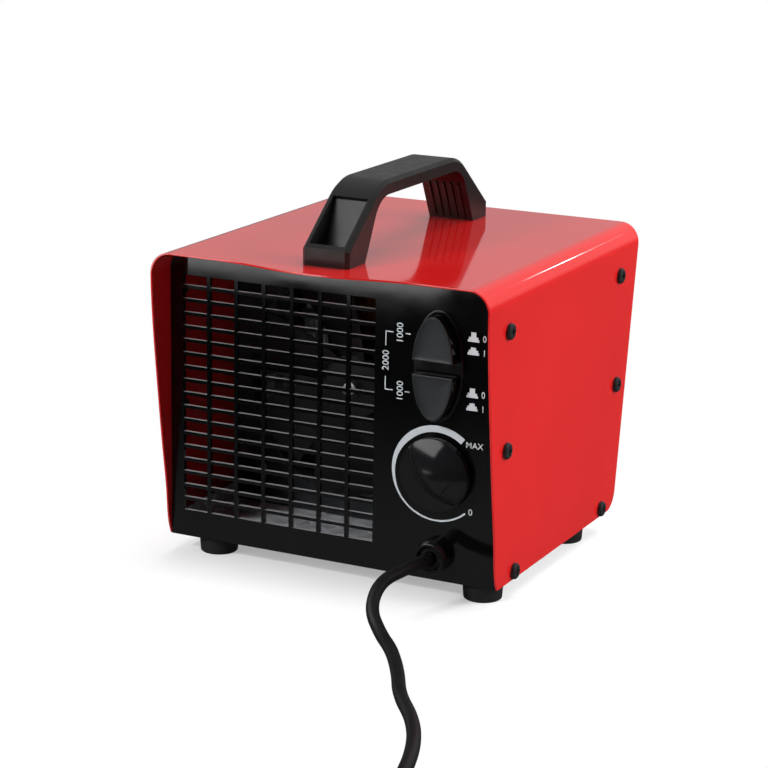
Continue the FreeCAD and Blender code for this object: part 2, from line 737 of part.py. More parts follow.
def motor():
    """Shaded-pole motor behind the fan, on a bar across the duct."""
    axis = (("fan_line", "fan_height"))
    shaft = rod("shaft_diameter / 2", "motor_front + motor_stack + 9 - fan_front + 6",
                (axis[0], "fan_front - 6", axis[1]))
    sub_part(shaft, "motor_shaft")
    clip = cut(rod("3.6", "1.8", (axis[0], "fan_front - 2", axis[1])),
               rod("shaft_diameter / 2", "6", (axis[0], "fan_front - 4", axis[1])))
    sub_part(clip, "fan_clip")
    rotor = cut(rod("13", "motor_stack - 0.6", (axis[0], "motor_front + 0.3", axis[1])),
                rod("shaft_diameter / 2", "40", (axis[0], "motor_front - 8", axis[1])))
    sub_part(rotor, "motor_rotor")
    frame = box(("fan_line - 30", "motor_front", "fan_height - 22"), ("60", "motor_stack", "74"))
    window = box(("fan_line - 18", "motor_front - 1", "fan_height + 24"), ("36", "motor_stack + 2", "16"))
    bore = rod("13.4", "motor_stack + 2", (axis[0], "motor_front - 1", axis[1]))
    bolt_holes = [rod("2.05", "motor_stack + 2", ("fan_line %s" % x, "motor_front - 1", "fan_height - 16"))
                  for x in ("- 24", "+ 24")]
    sub_part(cut(frame, window, bore, *bolt_holes), "motor_stator")
    winding = box(("fan_line - 16", "motor_front - 9", "fan_height + 26"), ("32", "motor_stack + 18", "34"))
    core = box(("fan_line - 31", "motor_front - 0.2", "fan_height + 39.8"), ("62", "motor_stack + 0.4", "12.4"))
    sub_part(cut(winding, core), "motor_coil")
    for label, depth in (("motor_bracket_front", "motor_front - 2.7"),
                         ("motor_bracket_rear", "motor_front + motor_stack + 0.2")):
        bar = box(("fan_line - 29", depth, "fan_height - 20"), ("58", "2.5", "27"))
        bearing = rod("7", "7", (axis[0], depth if "rear" in label else "motor_front - 7.2", axis[1]))
        through = rod("shaft_diameter / 2 + 0.03", "20", (axis[0], "%s - 8" % depth, axis[1]))
        holes = [rod("2.05", "6", ("fan_line %s" % x, "%s - 1" % depth, "fan_height - 16"))
                 for x in ("- 24", "+ 24")]
        sub_part(cut(fuse(bar, bearing), through, *holes), label)
    bar = box(("fan_line - duct_half + 0.4", "motor_front + motor_stack + 8", "fan_height - 22"),
              ("2 * duct_half - 0.8", "1.5", "12"))
    legs = [box((x, "fan_plate_depth + gauge + 0.2", "fan_height - 22"),
                ("1.5", "motor_front + motor_stack + 8 - fan_plate_depth - gauge - 0.2", "12"))
            for x in ("fan_line - duct_half + 0.4", "fan_line + duct_half - 1.9")]
    holes = [rod("2.05", "6", ("fan_line %s" % x, "motor_front + motor_stack + 6", "fan_height - 16"))
             for x in ("- 24", "+ 24")]
    sub_part(cut(fuse(bar, *legs), *holes), "motor_mount")
    bolts = []
    for x in (-24, 24):
        bolt = pan_head(7.0, 2.2, 4.0, dim("motor_stack") + 13)
        bolt.rotate(V(), V(1, 0, 0), 90)
        bolt.translate(V(FAN_X + x, dim("motor_front") - 2.7, FAN_Z - 16))
        bolts.append(bolt)
    feature(Part.makeCompound(bolts), "motor_bolts")


def heater_duct():
    """Square sheet tunnel that takes the air from the fan plate to the heating element."""
    half = "duct_half"
    outer = box(("fan_line - %s - gauge" % half, "fan_plate_depth + 10.2", "fan_height - %s - gauge" % half),
                ("2 * ( duct_half + gauge )", "outlet_depth - fan_plate_depth - 10.4", "2 * ( duct_half + gauge )"))
    inner = box(("fan_line - %s" % half, "fan_plate_depth", "fan_height - %s" % half),
                ("2 * duct_half", "outlet_depth", "2 * duct_half"))
    sub_part(cut(outer, inner), "heater_duct")


def heating_element():
    """Ceramic element: heater strips between finned radiators in a frame with bus terminals."""
    half = dim("element_half")
    depth = dim("element_depth")
    front = dim("element_front")
    room = dim("duct_half")
    side = room - half - 0.3
    frame = Part.makeBox(2 * room - 0.6, depth + 4, 2 * room - 0.6,
                         V(FAN_X - room + 0.3, front - 2, FAN_Z - room + 0.3))
    window = Part.makeBox(2 * half, depth + 10, 2 * half, V(FAN_X - half, front - 5, FAN_Z - half))
    feature(frame.cut(window), "element_frame")
    strips, stones, fins = [], [], []
    strip_count = 5
    strip_high, fin_high = 6.0, (2 * half - 5 * 6.0) / 6
    for row in range(strip_count + 1):
        low = FAN_Z - half + row * (strip_high + fin_high)
        pitch, thick = 3.3, 0.5
        count = int(2 * half / pitch)
        for k in range(count):
            fins.append(Part.makeBox(thick, depth - 2, fin_high - 0.1,
                                     V(FAN_X - half + 1.2 + k * pitch, front + 1, low + 0.05)))
        if row == strip_count:
            continue
        base = low + fin_high
        tube = Part.makeBox(2 * half - 0.2, depth, strip_high, V(FAN_X - half + 0.1, front, base))
        stone_room = Part.makeBox(2 * half + 2, depth - 4, strip_high - 1.6,
                                  V(FAN_X - half - 1, front + 2, base + 0.8))
        strips.append(tube.cut(stone_room))
        for k in range(4):
            stones.append(Part.makeBox(29, depth - 5, strip_high - 2.0,
                                       V(FAN_X - half + 4 + k * 32, front + 2.5, base + 1.0)))
    feature(Part.makeCompound(strips), "element_strips")
    feature(Part.makeCompound(stones), "ceramic_stones")
    feature(Part.makeCompound(fins), "radiator_fins")


def outlet_panel():
    """Black rear of the chassis: a square outlet, flanged backwards for the rear cover screws."""
    body = new_body("OutletPanel")
    face = new_sketch(body, "Face", "XZ_Plane", "- outlet_depth - gauge")
    add_outline(face, plate_outline(SHEET_HALF, 0.6, SHEET_TOP))
    pad(body, face, "gauge")
    flanges = new_sketch(body, "Flanges", "XZ_Plane", "- outlet_depth - gauge - outlet_flange")
    for side in (-1, 1):
        outer = "%d * ( %s )" % (side, FLANGE_FACE)
        inner = "%d * ( %s - gauge )" % (side, FLANGE_FACE)
        left, right = (outer, inner) if side < 0 else (inner, outer)
        add_rectangle(flanges, left, "flange_low + 4", right, "flange_high")
    pad(body, flanges, "outlet_flange")
    window = new_sketch(body, "Window", "XZ_Plane")
    add_rectangle(window, "fan_line - outlet_half", "fan_height - outlet_half",
                  "fan_line + outlet_half", "fan_height + outlet_half")
    slots = 9
    for k in range(slots):
        low = "fan_height - 44 + %d * 10" % k
        add_rectangle(window, "fan_line + outlet_half + 18", low, "fan_line + outlet_half + 44", low + " + 4")
    pocket(body, window)
    screw_holes = new_sketch(body, "FlangeHoles", "YZ_Plane")
    for y, z in COVER_SCREWS[3:5]:
        add_circle(screw_holes, y, z, "screw_shank / 2 + 0.05")
    pocket(body, screw_holes)
    return sub_part(body, "outlet_panel")


def outlet_guard():
    """Welded wire guard over the outlet: upright wires on four cross wires."""
    half = dim("outlet_half") + 5
    wires = []
    radius = 1.25
    depth = dim("outlet_depth") + GAUGE + radius + 0.05
    for height in (-half + 2, -half / 3, half / 3, half - 2):
        wires.append(Part.makeCylinder(radius, 2 * half, V(FAN_X - half, depth, FAN_Z + height), V(1, 0, 0)))
    count = 19
    for k in range(count):
        x = FAN_X - half + 2 + k * (2 * half - 4) / (count - 1)
        wires.append(Part.makeCylinder(radius, 2 * half, V(x, depth + 1.8 * radius, FAN_Z - half), V(0, 0, 1)))
    return feature(wires[0].multiFuse(wires[1:]), "outlet_guard")


# ---------------------------------------------------------------- controls behind the panel
def control_gear():
    """Thermal cut-out on the element's frame and the terminal block on the base plate."""
    disc = rod("8", "10", ("fan_line + duct_half + 10", "element_front", "fan_height + 40"))
    tabs = [box(("fan_line + duct_half + 10 %s" % x, "element_front + 10", "fan_height + 37"), ("0.8", "8", "6"))
            for x in ("- 5", "+ 4")]
    strap = box(("fan_line + duct_half + gauge + 0.1", "element_front - 1.4", "fan_height + 30"), ("20", "1.2", "20"))
    sub_part(fuse(disc, *tabs), "thermal_cutout")
    sub_part(strap, "cutout_strap")
    block = box(("control_line - 16", "44", "1.8"), ("34", "18", "14"))
    screws = [rod("2.2", "6", ("control_line - 10 + %d" % (11 * k), "53", "10"), UPRIGHT) for k in range(3)]
    sub_part(cut(block, *screws), "terminal_block")


# ---------------------------------------------------------------- handle
def handle():
    """Carrying handle: two sloped legs with scoops for the screws, and a flat grip."""
    body = new_body("Handle")
    front, rear = dim("handle_front"), dim("handle_rear")
    crest = TOP + dim("handle_rise")
    under = crest - dim("grip_thick")
    block = TOP + dim("leg_block")
    foot = dim("leg_foot")
    lean, inner_lean = 39.5, foot + 16.75                  # where the slopes would meet the grip
    side = new_sketch(body, "Side", "YZ_Plane", "- handle_width / 2")
    add_outline(side, [(front, TOP), (front, block), (front + lean, crest, 34), (rear - lean, crest, 34),
                       (rear, block), (rear, TOP), (rear - foot, TOP), (rear - inner_lean, under, 18),
                       (front + inner_lean, under, 18), (front + foot, TOP)])
    whole = pad(body, side, "handle_width")
    doc.recompute()
    half = dim("handle_width") / 2
    outer = edges_where(whole.Shape, lambda p: abs(abs(p.x) - half) < 0.01 and is_outer(p, front, rear))
    bevel = body.newObject("PartDesign::Chamfer", "Bevel")
    bevel.Base = (whole, outer)
    bind(bevel, "Size", "handle_bevel")
    body.Tip = bevel

    scoops = new_sketch(body, "Scoops", "YZ_Plane", "- scoop_half")
    floor = TOP + dim("scoop_floor")
    for end, way in ((front, 1), (rear, -1)):
        add_outline(scoops, [(end + way * 2.5, floor), (end + way * 18, floor, 1), (end + way * 31, TOP + 31),
                             (end + way * 20, TOP + 45), (end - way * 20, TOP + 20), (end + way * 2.5, TOP + 12)])
    dished = pocket(body, scoops, "2 * scoop_half")
    dished.Reversed = True
    bores = new_sketch(body, "Bores", "XY_Plane", "cover_height + scoop_floor + 1")
    for y in HANDLE_SCREWS:
        add_circle(bores, "0", y, "foot_hole / 2")
    pocket(body, bores, "scoop_floor + 3")
    return sub_part(body, "handle")


def is_outer(point, front, rear):
    """Whether an edge of the handle's side belongs to its outside, above the feet."""
    high = point.z - TOP
    if high < 1:
        return False
    if min(abs(point.y - front), abs(point.y - rear)) < 0.1:
        return True
    along = min(point.y - front, rear - point.y)
    return high > dim("leg_block") + 0.6 * along or high > dim("handle_rise") - 1


def handle_screws():
    """Two screws that stand in the scoops and clamp the handle to the cover."""
    solids = []
    for y in HANDLE_SCREWS:
        screw = pan_head(7.0, 2.2, 3.8, dim("scoop_floor") + 10)
        nut = Part.makeCylinder(3.4, 3.0, V(0, 0, -dim("scoop_floor") - GAUGE - 3.2))
        joined = screw.fuse(nut)
        joined.translate(V(0, dim(y), TOP + dim("scoop_floor") + 0.02))
        solids.append(joined)
    feature(Part.makeCompound(solids), "handle_screws")


# ---------------------------------------------------------------- mains lead
# The lead's route, in the frame of the finished heater: out of the gland, down and round to the
# table, and over it to the put-away coil.
CORD_ROUTE = [
    (64.3, -90.5, 24.0), (60.5, -110.5, 24.0), (54.5, -129.5, 21.5), (56.5, -144.5, 11.5),
    (69.0, -156.5, 3.6), (83.0, -172.5, 3.6), (99.0, -197.5, 3.6), (113.0, -224.5, 3.6),
    (132.0, -248.5, 3.6), (146.0, -275.5, 3.6), (157.0, -310.5, 3.6), (162.5, -348.5, 3.6),
    (161.5, -386.5, 3.6)]

TAIL_ROUTE = [(208.0, -430.0, 10.7), (219.0, -430.0, 11.8), (233.0, -430.0, 17.8), (248.0, -430.0, 17.8)]


def smooth_path(points):
    """Straight runs joined by tangent arcs, each as large as its two runs allow."""
    corners = [V(*point) for point in points]
    edges, start, radii = [], corners[0], []
    for before, corner, after in zip(corners, corners[1:], corners[2:]):
        back, ahead = before - corner, after - corner
        reach = 0.45 * min(back.Length, ahead.Length)
        half = back.getAngle(ahead) / 2
        back.normalize()
        ahead.normalize()
        middle = (back + ahead).normalize()
        radius = reach * math.tan(half)
        crest = corner + middle * (radius / math.sin(half) - radius)
        edges.append(Part.LineSegment(start, corner + back * reach).toShape())
        edges.append(Part.Arc(corner + back * reach, crest, corner + ahead * reach).toShape())
        start = corner + ahead * reach
        radii.append(round(radius, 1))
    edges.append(Part.LineSegment(start, corners[-1]).toShape())
    return Part.Wire(edges), radii


def tube(points, diameter, label):
    """A round tube along a route, checked against its section times its length."""
    path, radii = smooth_path(points)
    start = path.Edges[0].tangentAt(path.Edges[0].FirstParameter)
    ring = Part.Wire(Part.makeCircle(diameter / 2, V(*points[0]), start))
    solid = path.makePipeShell([ring], True, True)
    expected = math.pi * diameter ** 2 / 4 * path.Length
    print("%s: length %.1f mm, radii %s, volume %.4f of expected"
          % (label, path.Length, radii, solid.Volume / expected))
    return solid


def placed_feature(shape, label):
    """A piece modelled in the frame of the finished heater."""
    back = FreeCAD.Placement(V(0, dim("panel_front"), -dim("foot_height")), FreeCAD.Rotation())
    return feature(shape.transformed(back.toMatrix(), True), label)


def mains_lead():
    wide = dim("cord_diameter")
    placed_feature(tube(CORD_ROUTE, wide, "mains_cord"), "mains_cord")
    middle = V(dim("coil_x"), dim("coil_y"), 0.1)
    ring = Part.makeCylinder(dim("coil_outer"), dim("coil_height"), middle)
    ring = ring.cut(Part.makeCylinder(dim("coil_inner"), 4 * wide, middle - V(0, 0, wide)))
    placed_feature(ring, "mains_cord_coil")
    placed_feature(tube(TAIL_ROUTE, wide, "mains_cord_tail"), "mains_cord_tail")
    back = V(*TAIL_ROUTE[-1])
    radius, length = dim("plug_radius"), dim("plug_length")
    profile = outline([(0, 0), (5.5, 0), (6.5, 12, 6), (radius - 3, 18, 8), (radius, length - 12, 6),
                       (radius, length, 1.5), (0, length)])
    wire = Part.Wire(Part.__sortEdges__([edge.toShape() for edge in profile]))
    body = Part.Face(wire).revolve(V(), V(0, 1, 0), 360)
    turn = FreeCAD.Placement(back, FreeCAD.Rotation(V(0, 0, 1), -90))
    placed_feature(body.transformed(turn.toMatrix(), True), "mains_plug")
    pins = []
    for side in (-9.5, 9.5):
        pin = Part.makeCylinder(2.4, 19, back + V(length, side, 0), V(1, 0, 0))
        pin = pin.makeFillet(1.2, [edge for edge in pin.Edges if edge.BoundBox.Center.x > back.x + length + 18])
        pins.append(pin)
    placed_feature(Part.makeCompound(pins), "plug_pins")


# ---------------------------------------------------------------- build
def build():
    cover_shell()
    cover_screws()
    control_panel()
    button_bezel()
    button("upper_button", True)
    button("lower_button", False)
    switch_body("upper_switch", "+")
    switch_body("lower_switch", "-")
    thermostat_knob()
    thermostat()
    cord_gland()
    base_plate()
    for label, (x, y) in FEET.items():
        rubber_foot(label, x, y)
    foot_screws()
    fan_plate()
    fan_rotor()
    motor()
    heater_duct()
    heating_element()
    outlet_panel()
    outlet_guard()
    control_gear()
    handle()
    handle_screws()
    mains_lead()


def check():
    """Stop at anything that failed, before a file is written."""
    doc.recompute()
    for item in doc.Objects:
        if {"Invalid", "Error"} & set(item.State):
            raise RuntimeError("%s (%s) failed: %s" % (item.Name, item.Label, item.State))
    for item in PARTS:
        if item.Shape.isNull() or not item.Shape.isValid() or not item.Shape.Solids:
            raise RuntimeError("%s has no valid solid" % item.Label)


build()
check()
os.makedirs("parts", exist_ok=True)
for item in PARTS:
    item.Shape.exportStep("parts/%s.step" % item.Label)
    print("%-22s %2d solids  %8.2f cm3" % (item.Label, len(item.Shape.Solids), item.Shape.Volume / 1000))
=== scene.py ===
"""Looks of the ceramic fan heater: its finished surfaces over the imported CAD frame.

Places are worked out from the same datum as the CAD model: the middle of the cover's lower edge on
the control panel's face, in millimetres, X to the right, Y into the heater and Z up. Only the mains
lead is given in the frame's own axes, as its route is in the CAD model.
"""
import json
import math

import bmesh
import bpy
from mathutils import Matrix, Vector


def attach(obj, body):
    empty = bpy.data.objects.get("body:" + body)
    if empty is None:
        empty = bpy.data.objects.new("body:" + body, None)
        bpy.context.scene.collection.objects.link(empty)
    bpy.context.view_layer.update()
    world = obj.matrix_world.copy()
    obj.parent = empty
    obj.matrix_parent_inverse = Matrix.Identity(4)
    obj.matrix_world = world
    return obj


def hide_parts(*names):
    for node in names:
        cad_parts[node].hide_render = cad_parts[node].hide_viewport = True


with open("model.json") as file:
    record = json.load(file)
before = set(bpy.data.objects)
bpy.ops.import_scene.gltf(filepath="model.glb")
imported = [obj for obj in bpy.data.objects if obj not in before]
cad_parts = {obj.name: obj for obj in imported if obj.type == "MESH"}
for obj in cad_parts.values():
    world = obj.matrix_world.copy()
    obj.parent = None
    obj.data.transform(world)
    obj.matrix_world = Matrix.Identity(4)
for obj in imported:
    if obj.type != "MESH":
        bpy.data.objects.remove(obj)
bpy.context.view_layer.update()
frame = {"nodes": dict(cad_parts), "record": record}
RECORD = frame["record"]
NODE_SLOT = {s["node"]: s["material_slot"] for s in RECORD["subparts"]}
NODE_BODY = {node: body for body, nodes in RECORD["behaviour"]["bodies"].items() for node in nodes}

MM = 0.001
PANEL_FRONT, FOOT_HEIGHT = 83.5, 10.0           # the datum, in front of and above the frame's origin
ALONG_X, ALONG_Y, ALONG_Z = Vector((1, 0, 0)), Vector((0, 1, 0)), Vector((0, 0, 1))


def at(x, y, z):
    """A point given from the datum in millimetres, as a place in the scene."""
    return Vector((x, y - PANEL_FRONT, z + FOOT_HEIGHT)) * MM


# ---------------------------------------------------------------- camera
CAMERA_PLACE = (0.58869, -1.20559, 0.44628)
CAMERA_TURN = (26.375, 14.831, 0.933)           # degrees to the right, up, and of roll
FILM, LENS = 36.0, 114.17


def add_camera():
    """A long lens that looks at the control side from the right and a little above."""
    turn, height, roll = (math.radians(angle) for angle in CAMERA_TURN)
    back = Vector((math.sin(turn) * math.cos(height), -math.cos(turn) * math.cos(height), math.sin(height)))
    right = ALONG_Z.cross(back).normalized()
    up = back.cross(right)
    across = right * math.cos(roll) + up * math.sin(roll)
    upright = up * math.cos(roll) - right * math.sin(roll)
    data = bpy.data.cameras.new("camera")
    data.sensor_width, data.lens, data.clip_start = FILM, LENS, 0.05
    camera = bpy.data.objects.new("camera", data)
    bpy.context.collection.objects.link(camera)
    axes = Matrix((across, upright, back)).transposed().to_4x4()
    camera.matrix_world = Matrix.Translation(CAMERA_PLACE) @ axes
    bpy.context.scene.camera = camera


# ---------------------------------------------------------------- materials
class Nodes:
    """A small builder for one procedural material."""

    def __init__(self, name, colour, rough, **inputs):
        self.name = name                        # Blender's own name for it gets a number if the frame has one
        self.material = bpy.data.materials.new(name)
        self.material.use_nodes = True
        self.tree = self.material.node_tree
        self.shader = self.tree.nodes["Principled BSDF"]
        self.colour, self.rough = (*colour, 1.0), rough
        self.set(self.shader, **{"Base Color": self.colour, "Roughness": rough, **inputs})
        self.place = self.tree.nodes.new("ShaderNodeTexCoord").outputs["Object"]

    @staticmethod
    def set(node, **inputs):
        for name, setting in inputs.items():
            node.inputs[name].default_value = setting

    def node(self, kind, links=(), **inputs):
        item = self.tree.nodes.new("ShaderNode" + kind)
        self.set(item, **inputs)
        for socket, source in dict(links).items():
            self.tree.links.new(source, item.inputs[socket])
        return item

    def stretched(self, scale):
        """Object coordinates stretched along one or two axes, for brushed or drawn surfaces."""
        return self.node("Mapping", {"Vector": self.place}, Scale=scale).outputs["Vector"]

    def noise(self, scale, detail=4.0, rough=0.5, vector=None):
        return self.node("TexNoise", {"Vector": vector or self.place},
                         Scale=scale, Detail=detail, Roughness=rough).outputs["Fac"]

    def cells(self, scale):
        """Cells that each have a grey of their own."""
        return self.node("TexVoronoi", {"Vector": self.place}, Scale=scale).outputs["Color"]

    def span(self, source, low, high, start=0.3, end=0.7):
        """Goes from low to high as source goes from start to end."""
        item = self.node("MapRange", {"Value": source})
        self.set(item, **{"From Min": start, "From Max": end, "To Min": low, "To Max": high})
        return item.outputs["Result"]

    def blend(self, factor, first, second):
        """Mixes two colours, each a socket or three numbers."""
        item = self.node("Mix", {0: factor})
        item.data_type = "RGBA"
        for socket, colour in ((item.inputs[6], first), (item.inputs[7], second)):
            if isinstance(colour, bpy.types.NodeSocket):
                self.tree.links.new(colour, socket)
            else:
                socket.default_value = (*colour, 1)
        return item.outputs[2]

    def tint(self, source, amount, start=0.3, end=0.7):
        """Lightens and darkens the base colour by amount where source is high and low."""
        low = [c * (1 - amount) for c in self.colour[:3]]
        high = [min(1, c * (1 + amount) + amount * 0.01) for c in self.colour[:3]]
        mixed = self.blend(self.span(source, 0, 1, start, end), low, high)
        self.tree.links.new(mixed, self.shader.inputs["Base Color"])
        return self

    def vary_roughness(self, source, amount, start=0.3, end=0.7):
        out = self.span(source, max(0.02, self.rough - amount), min(1, self.rough + amount), start, end)
        self.tree.links.new(out, self.shader.inputs["Roughness"])
        return self

    def facing(self, axis, start, end):
        """Goes from 0 to 1 as the surface's own direction along axis goes from start to end."""
        normal = self.node("SeparateXYZ", {"Vector": self.node("TexCoord").outputs["Normal"]})
        return self.span(normal.outputs[axis], 0, 1, start, end)

    def cover_over(self, factor, colour):
        """Lays another colour over the tinted one."""
        base = self.shader.inputs["Base Color"]
        self.tree.links.new(self.blend(factor, base.links[0].from_socket, colour), base)

    def shaded_glossy_sides(self, colour, rough):
        """Paints everything that does not face the front darker, as painted shade on the walls, and gives it
        a glossier finish.
        """
        side = self.facing("Y", -0.8, -0.55)
        self.cover_over(side, colour)
        gloss = self.shader.inputs["Roughness"]
        softened = self.node("Mix", {0: side, 2: gloss.links[0].from_socket})
        softened.inputs[3].default_value = rough
        self.tree.links.new(softened.outputs[0], gloss)
        return self

    def highlighted_tops(self, colour):
        """Paints upward faces lighter as a painted highlight, such as the lower edges of the grille's slots.
        """
        self.cover_over(self.facing("Z", 0.55, 0.75), colour)
        return self

    def bump(self, source, depth_mm):
        """Adds a relief of about depth_mm, over any relief that is there already."""
        links = {"Height": source}
        below = self.shader.inputs["Normal"]
        if below.is_linked:
            links["Normal"] = below.links[0].from_socket
        item = self.node("Bump", links, Strength=1.0, Distance=depth_mm * MM)
        self.tree.links.new(item.outputs["Normal"], below)
        return self


def painted(name, colour, rough, peel, coat):
    """Baked enamel: a faint orange peel, and gloss that varies a little from place to place."""
    m = Nodes(name, colour, rough)
    m.set(m.shader, **{"Coat Weight": coat, "Coat Roughness": 0.06})
    m.tint(m.noise(9, 3), 0.05)
    m.vary_roughness(m.noise(45, 5), 0.03)
    return m.bump(m.noise(650, 2), peel)


def plastic(name, colour, rough, grain=0.02, scale=2600, patches=0.06, gloss_change=0.05):
    """Moulded plastic with a fine spark-eroded grain."""
    m = Nodes(name, colour, rough)
    m.tint(m.noise(35, 5), patches)
    m.vary_roughness(m.noise(120, 6), gloss_change)
    return m.bump(m.noise(scale, 3, 0.6), grain)


def metal(name, colour, rough, stretch, grain, depth, patches=0.08):
    """Bare metal with drawn or ground lines along the axes that stretch leaves small."""
    m = Nodes(name, colour, rough, Metallic=1.0)
    lines = m.noise(grain, 5, 0.65, m.stretched(stretch))
    m.tint(lines, patches)
    m.vary_roughness(lines, 0.08)
    return m.bump(lines, depth)


def zinc_coated(name, colour, rough, metallic, contrast):
    """Galvanised sheet, with the crystals of its coating."""
    m = Nodes(name, colour, rough, Metallic=metallic)
    m.tint(m.cells(110), contrast, 0.1, 0.9)
    m.vary_roughness(m.cells(110), 0.09, 0.1, 0.9)
    return m.bump(m.noise(300, 4), 0.01)


def banded(name, colour, rough, metallic, axis, scale, distortion, contrast, depth):
    """Stacked sheets or turns of wire, as bands one after another along axis."""
    m = Nodes(name, colour, rough, Metallic=metallic)
    bands = m.node("TexWave", {"Vector": m.place}, Scale=scale, Distortion=distortion)
    bands.bands_direction = axis
    m.tint(bands.outputs["Fac"], contrast, 0, 1)
    return m.bump(bands.outputs["Fac"], depth)


def sintered(name, colour, rough):
    """Fired ceramic, speckled and slightly rough."""
    m = Nodes(name, colour, rough)
    m.tint(m.cells(2500), 0.4, 0.1, 0.9)
    return m.bump(m.noise(1800, 6), 0.04)


def chromed(name, colour, rough):
    """Bright plated spring steel."""
    m = Nodes(name, colour, rough, Metallic=0.25)
    m.tint(m.noise(500), 0.04)
    m.vary_roughness(m.noise(500), 0.05)
    return m.bump(m.noise(500), 0.002)


def filled_moulding(name, colour, rough):
    """Heat-proof moulding with a visible speckle of filler."""
    m = plastic(name, colour, rough, 0.05, 1200, 0.35)
    return m.tint(m.cells(900), 0.3, 0.1, 0.9)


def make_materials():
    even = (1, 1, 1)
    made = (
        painted("red_enamel", (0.62, 0.012, 0.012), 0.08, 0.003, 1.0),
        # the black enamel's upward faces are painted lighter: a painted highlight on the slots' lower edges
        painted("black_enamel", (0.0015, 0.0016, 0.0018), 0.07, 0.0015, 0.25).highlighted_tops((0.55, 0.55, 0.56)),
        plastic("screw_black", (0.018, 0.018, 0.019), 0.20, 0.006, 1500),
        metal("screw_steel", (0.62, 0.61, 0.58), 0.3, even, 700, 0.008),
        zinc_coated("galvanised_steel", (0.80, 0.84, 0.88), 0.34, 0.2, 0.14),
        # a galvanised finish painted dark, as the shade inside the housing, for the fan plate
        zinc_coated("zinc_in_painted_shade", (0.030, 0.034, 0.038), 0.40, 0.3, 0.2),
        # the button's walls are painted darker as shade, and are glossier than its face
        plastic("button_plastic", (0.021, 0.023, 0.026), 0.42, 0.012, 3200,
                0.05).shaded_glossy_sides((0.006, 0.006, 0.006), 0.16),
        plastic("bezel_plastic", (0.005, 0.005, 0.006), 0.16, 0.004, 2200),
        plastic("knob_plastic", (0.008, 0.008, 0.009), 0.15, 0.003, 1800, 0.05, 0.03),
        plastic("switch_plastic", (0.03, 0.03, 0.03), 0.5),
        plastic("handle_plastic", (0.010, 0.0092, 0.0088), 0.36, 0.014, 2400, 0.10, 0.05),
        plastic("gland_plastic", (0.008, 0.008, 0.008), 0.18, 0.004, 1500),
        plastic("foot_rubber", (0.014, 0.014, 0.014), 0.62, 0.03, 1800, 0.2),
        plastic("fan_blades", (0.012, 0.012, 0.013), 0.38, 0.01, 1500),
        metal("shaft_steel", (0.66, 0.66, 0.67), 0.22, (1, 0.05, 1), 1800, 0.003),
        chromed("clip_steel", (0.95, 0.94, 0.92), 0.30),
        banded("laminated_iron", (0.30, 0.30, 0.31), 0.45, 1.0, "Y", 320, 0.3, 0.35, 0.15),
        banded("copper_winding", (0.60, 0.20, 0.07), 0.28, 0.9, "X", 330, 1.2, 0.4, 0.3),
        metal("bearing_alloy", (0.62, 0.62, 0.63), 0.5, even, 500, 0.03),
        filled_moulding("moulded_frame", (0.050, 0.022, 0.012), 0.5),
        metal("strip_aluminium", (0.78, 0.78, 0.79), 0.32, (0.05, 1, 1), 1500, 0.006),
        sintered("ptc_ceramic", (0.16, 0.15, 0.14), 0.75),
        metal("guard_wire", (0.80, 0.79, 0.77), 0.14, even, 600, 0.004, 0.05),
        plastic("block_plastic", (0.70, 0.68, 0.62), 0.5, 0.02, 1500),
        plastic("lead_sheath", (0.004, 0.004, 0.004), 0.45, 0.02, 1400, 0.15),
        plastic("plug_rubber", (0.012, 0.012, 0.012), 0.42, 0.02, 1600),
        metal("pin_brass", (0.78, 0.76, 0.70), 0.2, (0.1, 1, 1), 1500, 0.004),
        plastic("panel_ink", (0.62, 0.66, 0.69), 0.5, 0.01, 2500, 0.05),
    )
    return {builder.name: builder.material for builder in made}


MATERIALS = make_materials()


# ---------------------------------------------------------------- mesh helpers
def new_piece(name, mesh, body, material, replaces=None):
    """Links a finished mesh, gives it its material, ties it to its body, and hides the CAD node that it
    replaces.
    """
    piece = bpy.data.objects.new(name, mesh)
    bpy.context.collection.objects.link(piece)
    mesh.materials.clear()
    mesh.materials.append(MATERIALS[material])
    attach(piece, body)
    if replaces:
        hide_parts(replaces)
    return piece


def smooth(mesh, angle):
    """Rounds the shading of everything flatter than angle, in degrees."""
    for polygon in mesh.polygons:
        polygon.use_smooth = True
    mesh.set_sharp_from_angle(angle=math.radians(angle))


def bevel(bm, edges, width, segments):
    """Rounds edges off by width, in millimetres."""
    if edges:
        bmesh.ops.bevel(bm, geom=edges, offset=width * MM, offset_type="OFFSET", segments=segments,
                        profile=0.5, affect="EDGES", clamp_overlap=True)


def sharp_edges(bm, angle):
    return [edge for edge in bm.edges
            if len(edge.link_faces) == 2 and edge.calc_face_angle(0) > math.radians(angle)]


def refine(node, width, segments=2, angle=30, shade=32, material=None):
    """A CAD node's shape with its edges eased, which stands for the node."""
    bm = bmesh.new()
    bm.from_mesh(frame["nodes"][node].data)
    bmesh.ops.remove_doubles(bm, verts=bm.verts, dist=1e-6)
    bmesh.ops.dissolve_limit(bm, angle_limit=math.radians(0.4), verts=bm.verts, edges=bm.edges)
    bevel(bm, sharp_edges(bm, angle), width, segments)
    bmesh.ops.triangulate(bm, faces=[f for f in bm.faces if len(f.verts) > 4])
    mesh = bpy.data.meshes.new(node + "_shape")
    bm.to_mesh(mesh)
    bm.free()
    smooth(mesh, shade)
    slot = NODE_SLOT[node]
    piece = new_piece(node + "_finish", mesh, NODE_BODY[node], material or slot, node)
    piece.modifiers.new("normals", "WEIGHTED_NORMAL").keep_sharp = True
    return piece


def from_bmesh(name, bm, body, material, replaces=None, shade=32):
    bmesh.ops.recalc_face_normals(bm, faces=bm.faces)
    mesh = bpy.data.meshes.new(name)
    bm.to_mesh(mesh)
    bm.free()
    smooth(mesh, shade)
    return new_piece(name, mesh, body, material, replaces)


def circle(count):
    """Angles of count points, evenly round."""
    return [2 * math.pi * i / count for i in range(count)]


